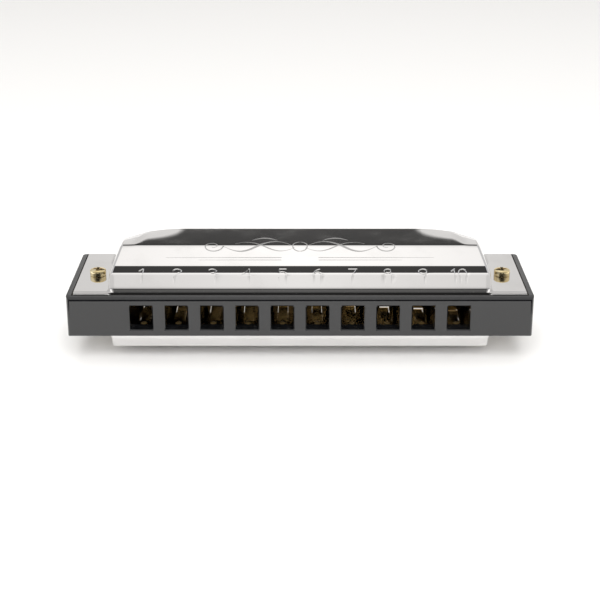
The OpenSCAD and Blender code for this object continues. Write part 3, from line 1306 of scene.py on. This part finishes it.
@dataclass
class Wiring:
    """Adds nodes to one tree and joins them up."""

    tree: bpy.types.NodeTree

    def add(self, kind: str, inputs: Inputs | None = None, **settings: object) -> bpy.types.Node:
        """Adds a node.

        Args:
            kind: The node's type.
            inputs: A value or another node's socket for each input, by its name or index.
            settings: The node's own options.

        Returns:
            The node.
        """
        node = self.tree.nodes.new(kind)
        for name, value in settings.items():
            setattr(node, name, value)
        for key, value in (inputs or {}).items():
            self.feed(node.inputs[key], value)
        return node

    def feed(self, socket: bpy.types.NodeSocket, value: object) -> None:
        """Links a socket to another, or sets its value."""
        if isinstance(value, bpy.types.NodeSocket):
            self.tree.links.new(value, socket)
        else:
            socket.default_value = value

    def place(self, group: bpy.types.NodeTree, inputs: Inputs) -> bpy.types.Node:
        """Places a node group with its own values."""
        node = self.tree.nodes.new("ShaderNodeGroup")
        node.node_tree = group
        for key, value in inputs.items():
            self.feed(node.inputs[key], value)
        return node

    def math(self, operation: str, *values: object, clamped: bool = False) -> bpy.types.NodeSocket:
        """Does sums on one or two values."""
        node = self.add("ShaderNodeMath", dict(enumerate(values)), operation=operation, use_clamp=clamped)
        return node.outputs[0]

    def noise(
        self, place: bpy.types.NodeSocket, scale: object, detail: float, roughness: float = 0.5
    ) -> bpy.types.NodeSocket:
        """Noise over a place.

        Args:
            place: Where it is read.
            scale: Its cycles per unit of place.
            detail: How many finer layers it has.
            roughness: How strong those are.

        Returns:
            The noise's value.
        """
        settings = {"Vector": place, "Scale": scale, "Detail": detail, "Roughness": roughness}
        return self.add("ShaderNodeTexNoise", settings).outputs[0]

    def ramp(
        self, value: bpy.types.NodeSocket, low: float, high: float, to: tuple[float, float] = (0, 1)
    ) -> bpy.types.NodeSocket:
        """Maps a value's range onto another, clamped.

        Args:
            value: The value.
            low: Start of its range.
            high: End of its range.
            to: The range that comes out.

        Returns:
            The mapped value.
        """
        limits = {"Value": value, "From Min": low, "From Max": high, "To Min": to[0], "To Max": to[1]}
        return self.add("ShaderNodeMapRange", limits, clamp=True).outputs["Result"]


@dataclass(frozen=True)
class SharedEffect:
    """A node group with named sockets, built the first time it is wanted."""

    name: str
    inputs: tuple[tuple[str, str, object], ...]
    output: str
    wire: Callable[[Wiring, bpy.types.Node], bpy.types.NodeSocket]

    def group(self) -> bpy.types.NodeTree:
        """Builds the group, or finds the one that is there.

        Returns:
            The node group.
        """
        if self.name in bpy.data.node_groups:
            return bpy.data.node_groups[self.name]
        tree = bpy.data.node_groups.new(self.name, "ShaderNodeTree")
        for label, kind, value in self.inputs:
            tree.interface.new_socket(label, in_out="INPUT", socket_type=kind).default_value = value
        tree.interface.new_socket(self.output, in_out="OUTPUT", socket_type="NodeSocketFloat")
        wiring = Wiring(tree)
        result = self.wire(wiring, wiring.add("NodeGroupInput"))
        wiring.add("NodeGroupOutput", {self.output: result})
        return tree


def wire_hairlines(w: Wiring, given: bpy.types.Node) -> bpy.types.NodeSocket:
    """Fine straight scratches along the direction in which Stretch is small."""
    sides = {0: given.outputs["Place"], 1: given.outputs["Stretch"]}
    stretched = w.add("ShaderNodeVectorMath", sides, operation="MULTIPLY").outputs[0]
    return w.ramp(w.noise(stretched, 1.0, 2.0, 0.6), 0.35, 0.65)


def wire_smudges(w: Wiring, given: bpy.types.Node) -> bpy.types.NodeSocket:
    """Soft handling marks broken up by a finer mottle."""
    place, scale = given.outputs["Place"], given.outputs["Scale"]
    mottle = w.noise(place, w.math("MULTIPLY", scale, 6.0), 5.0)
    return w.math("MULTIPLY", w.ramp(w.noise(place, scale, 3.0), 0.48, 0.72), mottle)


def wire_grain(w: Wiring, given: bpy.types.Node) -> bpy.types.NodeSocket:
    """Even pebbling left by a mould or a roller."""
    return w.noise(given.outputs["Place"], given.outputs["Scale"], 3.0)


def wire_wear(w: Wiring, given: bpy.types.Node) -> bpy.types.NodeSocket:
    """Brightening where an edge sticks out, broken up along its length."""
    patches = w.ramp(w.noise(given.outputs["Place"], 900.0, 4.0), 0.35, 0.6)
    return w.math("MULTIPLY", w.ramp(given.outputs["Pointiness"], 0.52, 0.62), patches)


PLACE = ("Place", "NodeSocketVector", (0, 0, 0))
HAIRLINES = SharedEffect(
    "hairlines", (PLACE, ("Stretch", "NodeSocketVector", (100, 9000, 9000))), "Height", wire_hairlines
)
SMUDGES = SharedEffect("smudges", (PLACE, ("Scale", "NodeSocketFloat", 120.0)), "Mask", wire_smudges)
GRAIN = SharedEffect("grain", (PLACE, ("Scale", "NodeSocketFloat", 4000.0)), "Height", wire_grain)
EDGE_WEAR = SharedEffect("edge_wear", (PLACE, ("Pointiness", "NodeSocketFloat", 0.5)), "Mask", wire_wear)


@dataclass(frozen=True)
class Finish:
    """A surface: its colour, how that colour varies, its gloss and its fine relief.

    Lengths are in millimetres. Stretch gives cycles of the hairlines per metre along each axis.
    """

    name: str
    colour: tuple[float, float, float]
    stain: tuple[float, float, float]
    metallic: float
    roughness: float
    rougher: float
    stretch: tuple[float, float, float]
    hairline_depth: float
    grain_scale: float
    grain_depth: float
    smudge_scale: float = 140.0
    worn: tuple[float, float, float] | None = None
    ior: float = 1.5

    def material(self) -> bpy.types.Material:
        """Builds the finish's nodes, or finds those that are there.

        Returns:
            The material.
        """
        if self.name in bpy.data.materials:
            return bpy.data.materials[self.name]
        made = bpy.data.materials.new(self.name)
        made.use_nodes = True
        made.node_tree.nodes.clear()
        w = Wiring(made.node_tree)
        place = w.add("ShaderNodeTexCoord").outputs["Object"]
        smudges = w.place(SMUDGES.group(), {"Place": place, "Scale": self.smudge_scale}).outputs["Mask"]
        lines = w.place(HAIRLINES.group(), {"Place": place, "Stretch": self.stretch}).outputs["Height"]
        grain = w.place(GRAIN.group(), {"Place": place, "Scale": self.grain_scale}).outputs["Height"]
        colour = self.mix(w, smudges, (*self.colour, 1), (*self.stain, 1))
        if self.worn:
            pointiness = w.add("ShaderNodeNewGeometry").outputs["Pointiness"]
            wear = w.place(EDGE_WEAR.group(), {"Place": place, "Pointiness": pointiness}).outputs["Mask"]
            colour = self.mix(w, wear, colour, (*self.worn, 1))
        rough = w.ramp(smudges, 0, 0.6, (self.roughness, self.rougher))
        scratched = {"Height": lines, "Distance": self.hairline_depth * MM, "Strength": 1.0}
        relief = w.add("ShaderNodeBump", scratched).outputs[0]
        pebbling = {"Height": grain, "Distance": self.grain_depth * MM, "Strength": 1.0, "Normal": relief}
        pebbled = w.add("ShaderNodeBump", pebbling)
        skin = w.add(
            "ShaderNodeBsdfPrincipled",
            {"Base Color": colour, "Roughness": rough, "Metallic": self.metallic, "IOR": self.ior},
        )
        w.feed(skin.inputs["Normal"], pebbled.outputs[0])
        w.add("ShaderNodeOutputMaterial", {"Surface": skin.outputs[0]})
        return made

    @staticmethod
    def mix(w: Wiring, mask: bpy.types.NodeSocket, a: object, b: object) -> bpy.types.NodeSocket:
        """Mixes two colours by a mask."""
        node = w.add("ShaderNodeMix", data_type="RGBA")
        for key, value in ((0, mask), (6, a), (7, b)):
            w.feed(node.inputs[key], value)
        return node.outputs[2]

    def dress(self, piece: bpy.types.Object) -> None:
        """Gives a piece this finish alone."""
        piece.data.materials.clear()
        piece.data.materials.append(self.material())


BLACK_PLASTIC = Finish(
    "satin_black_plastic", (0.004, 0.0042, 0.0048), (0.0055, 0.0058, 0.0066), 0.0, 0.09, 0.16,
    (900, 900, 900), 0.0006, 5200, 0.0012, worn=(0.012, 0.0125, 0.014), ior=1.7,
)  # fmt: skip
MIRROR_STEEL = Finish(
    "mirror_steel", (0.80, 0.79, 0.785), (0.74, 0.73, 0.72), 1.0, 0.045, 0.085,
    (260, 6000, 6000), 0.00002, 900, 0.00002,
)  # fmt: skip
ETCHED_STEEL = Finish(
    "etched_steel", (0.60, 0.595, 0.59), (0.52, 0.52, 0.52), 1.0, 0.42, 0.5,
    (2000, 2000, 2000), 0.0004, 9000, 0.0012,
)  # fmt: skip
# Plate brass, its colour lowered below bright brass as painted shade: it darkens the chambers seen through
# the mouth holes, where the plates lie in shade.
SHADE_DARKENED_BRASS = Finish(
    "shade_darkened_brass", (0.50, 0.35, 0.15), (0.34, 0.23, 0.095), 1.0, 0.12, 0.22,
    (130, 7000, 7000), 0.0009, 2500, 0.0006, worn=(0.72, 0.55, 0.28),
)  # fmt: skip
REED_BRASS = Finish(
    "filed_reed_brass", (0.74, 0.56, 0.27), (0.56, 0.4, 0.17), 1.0, 0.14, 0.24,
    (9000, 260, 9000), 0.001, 2500, 0.0005, smudge_scale=420, worn=(0.86, 0.7, 0.4),
)  # fmt: skip
RIVET_BRASS = Finish(
    "rivet_brass", (0.52, 0.37, 0.16), (0.36, 0.25, 0.1), 1.0, 0.22, 0.36,
    (3000, 3000, 3000), 0.0008, 5000, 0.0008, smudge_scale=600, worn=(0.86, 0.68, 0.36),
)  # fmt: skip
SCREW_BRASS = Finish(
    "gilt_screw_brass", (0.83, 0.68, 0.38), (0.60, 0.43, 0.18), 1.0, 0.13, 0.28,
    (2500, 2500, 9000), 0.0006, 5000, 0.0004, smudge_scale=500, worn=(0.93, 0.82, 0.55),
)  # fmt: skip
SCREW_ZINC = Finish(
    "plated_zinc", (0.62, 0.63, 0.65), (0.46, 0.46, 0.45), 1.0, 0.24, 0.38,
    (3000, 3000, 9000), 0.0008, 5000, 0.0006, smudge_scale=500, worn=(0.78, 0.78, 0.79),
)  # fmt: skip


# The flourish etched on the upper cover.


@dataclass
class Flourish:
    """A plain symmetrical ornament of tapering curves, in thin raised ribbons that lie on the cover.

    Sizes are in millimetres on the upper deck.
    """

    name: str = "upper_cover_ornament"
    middle_y: float = 15.0
    lift: float = 0.012
    thickness: float = 0.022
    steps: int = 64

    def strokes(self) -> list[tuple[np.ndarray, np.ndarray]]:
        """The ornament's right half.

        Returns:
            For each stroke, its points as rows of (x, y), and its width at each.
        """
        t = np.linspace(0, 1, self.steps)
        swell = np.sin(np.pi * t)
        y = self.middle_y
        scroll = np.stack([1.6 + 15.4 * t, y + 2.5 * np.sin(2 * np.pi * t) * (1 - 0.25 * t)], axis=1)
        under = np.stack([1.2 + 13.0 * t, y - 1.9 * np.sin(1.7 * np.pi * t + 0.35)], axis=1)
        turn = 2.6 * np.pi * t
        reach = 2.3 * (1 - 0.78 * t)
        curl = np.stack([17 + 2.1 + reach * np.cos(turn + np.pi), y + reach * np.sin(turn + np.pi)], axis=1)
        leaf = np.stack([5 + 5.6 * t, y + 3.1 + 1.3 * np.sin(np.pi * t)], axis=1)
        ring = np.stack([0.08 + 1.5 * np.sin(np.pi * t), y + 2.0 * np.cos(np.pi * t)], axis=1)
        line = np.stack([4 + 25 * t, np.full_like(t, 10.6)], axis=1)
        short = np.stack([4 + 18 * t, np.full_like(t, 9.7)], axis=1)
        return [
            (scroll, 0.10 + 0.52 * swell**2),
            (under, 0.08 + 0.26 * swell**2),
            (curl, 0.34 - 0.22 * t),
            (leaf, 0.06 + 0.5 * swell),
            (ring, np.full_like(t, 0.26)),
            (line, 0.05 + 0.13 * (1 - t)),
            (short, 0.05 + 0.10 * (1 - t)),
        ]

    def build(self, cover: PressedCover) -> bpy.types.Object:
        """Lays the ribbons over a cover.

        Args:
            cover: The cover that they lie on.

        Returns:
            The ornament.
        """
        ribbons = []
        for points, width in self.strokes():
            for side in (1, -1):
                ribbons.append(self.ribbon(points * (side, 1), width, cover))
        ornament = join(ribbons, self.name)
        thicken = ornament.modifiers.new("ribbon", "SOLIDIFY")
        thicken.thickness, thicken.offset, thicken.use_rim = self.thickness * MM, -1, True
        finish_modifiers(ornament)
        turn_outwards(ornament)
        return smooth(ornament, 30)

    def ribbon(self, points: np.ndarray, width: np.ndarray, cover: PressedCover) -> bpy.types.Object:
        """One ribbon along a stroke.

        Args:
            points: The stroke's points.
            width: Its width at each point.
            cover: The cover that it lies on.

        Returns:
            The ribbon, one face thick, facing up.
        """
        along = np.gradient(points, axis=0)
        along /= np.linalg.norm(along, axis=1, keepdims=True)
        across = np.stack([-along[:, 1], along[:, 0]], axis=1) * width[:, None] / 2
        lay_down()
        bpy.ops.mesh.primitive_grid_add(x_subdivisions=2, y_subdivisions=len(points) - 1, size=2)
        piece = bpy.context.object
        flat = np.array([v.co for v in piece.data.vertices])
        row = ((flat[:, 1] + 1) / 2 * (len(points) - 1)).round().astype(int)
        place = points[row] + across[row] * -flat[:, :1]
        height = cover.height_at(place[:, 0], place[:, 1]) + self.lift
        deck = np.column_stack([place, height]) * MM + np.array(BENCH.at(0, 0, 0))
        piece.data.vertices.foreach_set("co", deck.ravel())
        with editing(piece):
            bpy.ops.mesh.select_all(action="SELECT")
            if piece.data.polygons[0].normal.z < 0:
                bpy.ops.mesh.flip_normals()
        return piece


# The studio.


@dataclass(frozen=True)
class Lamp:
    """A broad square lamp, which the steel doesn't mirror. Its place is in metres."""

    name: str
    size: float
    power: float
    place: tuple[float, float, float]

    def hang(self) -> None:
        """Hangs the lamp in its place and points it at the harmonica."""
        lamp = bpy.data.lights.new(self.name, "AREA")
        lamp.shape, lamp.size, lamp.energy = "SQUARE", self.size, self.power
        holder = bpy.data.objects.new(self.name, lamp)
        holder.location = self.place
        holder.rotation_euler = Vector(self.place).to_track_quat("Z", "Y").to_euler()
        holder.visible_glossy = False
        bpy.context.scene.collection.objects.link(holder)


@dataclass
class Studio:
    """A pale floor, a light tent with dark gaps for the steel to mirror, two lamps and the camera.

    The tent's brightness depends on a direction's angle from the back of the floor, over the top.
    """

    tent: tuple[tuple[float, float], ...] = (
        (0, 0.98), (21.6, 0.93), (23.2, 0.07), (39.5, 0.055), (42, 0.35), (45, 1.0), (48, 1.32), (55, 1.32),
        (66, 1.06), (90, 1.0), (120, 1.0), (140.5, 1.0), (146, 0.035), (174, 0.02), (180, 0.5),
    )  # fmt: skip
    dark_reach: tuple[float, float] = (0.15, 0.19)
    side_reach: tuple[float, float] = (0.3, 0.6)
    tint: tuple[float, float, float] = (1.0, 0.985, 0.968)
    open_colour: tuple[float, float, float] = (0.85, 0.85, 0.87)
    open_side: float = 0.4
    fading: float = 0.275
    fading_reach: float = 0.25
    lamps: tuple[Lamp, ...] = (
        Lamp("overhead_lamp", 0.9, 1.8, (0, 0.05, 0.8)),
        Lamp("front_lamp", 0.5, 6.5, (0, -0.62, 0.5)),
    )
    elevation: float = 21.35
    distance: float = 297.3
    drop: float = 0.55
    lens: float = 84.64
    sensor: float = 36
    sight: tuple[float, float] = (0.01, 20)
    floor_size: float = 8
    floor_colour: tuple[float, float, float] = (0.86, 0.855, 0.845)

    def build(self) -> None:
        """Sets up the floor, the light and the camera."""
        self.lay_floor()
        self.light_tent()
        for lamp in self.lamps:
            lamp.hang()
        self.set_camera()
        view = bpy.context.scene.view_settings
        view.view_transform, view.look = "Standard", "None"

    def lay_floor(self) -> None:
        """A wide matt floor, level with the lowest point of the harmonica."""
        lay_down()
        bpy.ops.mesh.primitive_plane_add(size=self.floor_size)
        floor = bpy.context.object
        floor.name = floor.data.name = "studio_floor"
        made = bpy.data.materials.new("studio_floor")
        made.use_nodes = True
        skin = made.node_tree.nodes["Principled BSDF"]
        skin.inputs["Base Color"].default_value = (*self.floor_colour, 1)
        skin.inputs["Roughness"].default_value = 0.7
        skin.inputs["Specular IOR Level"].default_value = 0.1
        floor.data.materials.append(made)

    def light_tent(self) -> None:
        """Paints the tent's bands over the world."""
        world = bpy.data.worlds.new("light_tent")
        bpy.context.scene.world = world
        world.use_nodes = True
        world.node_tree.nodes.clear()
        w = Wiring(world.node_tree)
        direction = w.add("ShaderNodeTexCoord").outputs["Generated"]
        axes = w.add("ShaderNodeSeparateXYZ", {0: direction}).outputs
        share = w.math("DIVIDE", w.math("ARCTAN2", axes["Z"], axes["Y"]), math.pi, clamped=True)
        bands = w.add("ShaderNodeValToRGB", {"Fac": share})
        stops = bands.color_ramp.elements
        while len(stops) < len(self.tent):
            stops.new(0.5)
        for stop, (degrees, level) in zip(stops, self.tent, strict=True):
            stop.position = degrees / 180
            stop.color = (*(level * tint for tint in self.tint), 1)
        aside = w.math("ABSOLUTE", axes["X"])
        fading = w.ramp(aside, 0, self.fading_reach, (1, 1 - self.fading))
        behind = w.math("GREATER_THAN", axes["Y"], 0.0)
        open_back = w.math("MULTIPLY", w.ramp(aside, *self.dark_reach), behind)
        open_end = w.math("MAXIMUM", open_back, w.ramp(aside, *self.side_reach, (0, self.open_side)))
        layers = {0: open_end, 6: bands.outputs["Color"], 7: (*self.open_colour, 1)}
        lit = w.add("ShaderNodeMix", layers, data_type="RGBA", blend_type="LIGHTEN")
        sky = w.add("ShaderNodeBackground", {"Color": lit.outputs[2], "Strength": fading})
        w.add("ShaderNodeOutputWorld", {"Surface": sky.outputs[0]})

    def set_camera(self) -> None:
        """Looks down at the comb's front edge."""
        tilt = math.radians(self.elevation)
        ahead = Vector((0, math.cos(tilt), -math.sin(tilt)))
        up = Vector((0, math.sin(tilt), math.cos(tilt)))
        camera = bpy.data.cameras.new("camera")
        camera.lens, camera.sensor_width = self.lens, self.sensor
        camera.clip_start, camera.clip_end = self.sight
        holder = bpy.data.objects.new("camera", camera)
        holder.location = BENCH.at(0, 0, 0) - (ahead * self.distance + up * self.drop) * MM
        holder.rotation_euler = (math.pi / 2 - tilt, 0, 0)
        bpy.context.scene.collection.objects.link(holder)
        bpy.context.scene.camera = holder


def fit(piece: bpy.types.Object, finish: Finish, slot: str, *nodes: str) -> None:
    """Fixes a finished piece to the instrument in place of its nodes.

    Args:
        piece: The piece.
        finish: Its finish.
        slot: The record's material slot that the finish stands for; not used.
        nodes: The frame's nodes that the piece replaces.
    """
    finish.dress(piece)
    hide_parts(*nodes)
    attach(piece, ROOT)
    report(piece)


def report(piece: bpy.types.Object) -> None:
    """Logs a piece's size."""
    size = ", ".join(f"{v / MM:.1f}" for v in piece.dimensions)
    log.info("%s: %d faces, %s mm", piece.name, len(piece.data.polygons), size)


def main() -> None:
    """Builds the instrument, then its studio."""
    covers = {
        Deck.UPPER: PressedCover("upper_cover_shell", Deck.UPPER, True),
        Deck.LOWER: PressedCover("lower_cover_shell", Deck.LOWER, False),
    }
    screws = {deck: PlateScrews(deck) for deck in Deck}
    fit(Comb().build(screws[Deck.UPPER], CoverScrew()), BLACK_PLASTIC, "comb", "comb")
    for deck in Deck:
        fit(covers[deck].build(CoverScrew()), MIRROR_STEEL, "cover_steel", f"{deck.value}_cover")
        plate = ReedPlate(deck).build(screws[deck], CoverScrew())
        fit(plate, SHADE_DARKENED_BRASS, "plate_brass", f"{deck.value}_reed_plate")
        fit(Rivets(deck).build(), RIVET_BRASS, "rivet_brass", f"{deck.value}_rivets")
        fit(screws[deck].build(), SCREW_ZINC, "screw_zinc", f"{deck.value}_plate_screws")
    ornament = Flourish().build(covers[Deck.UPPER])
    ETCHED_STEEL.dress(ornament)
    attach(ornament, ROOT)
    report(ornament)
    for side in ("left", "right"):
        screw = CoverScrew(side)
        fit(screw.build(), SCREW_BRASS, "screw_brass", f"{side}_cover_screw")
        fit(CoverNut(side).build(screw), SCREW_BRASS, "screw_brass", f"{side}_cover_nut")
    for air in Air:
        for number in range(1, HOLES + 1):
            reed = Reed(air, number)
            piece = reed.build()
            REED_BRASS.dress(piece)
            reed.hang(piece)
            report(piece)
    Studio().build()


if __name__ == "__main__":
    main()
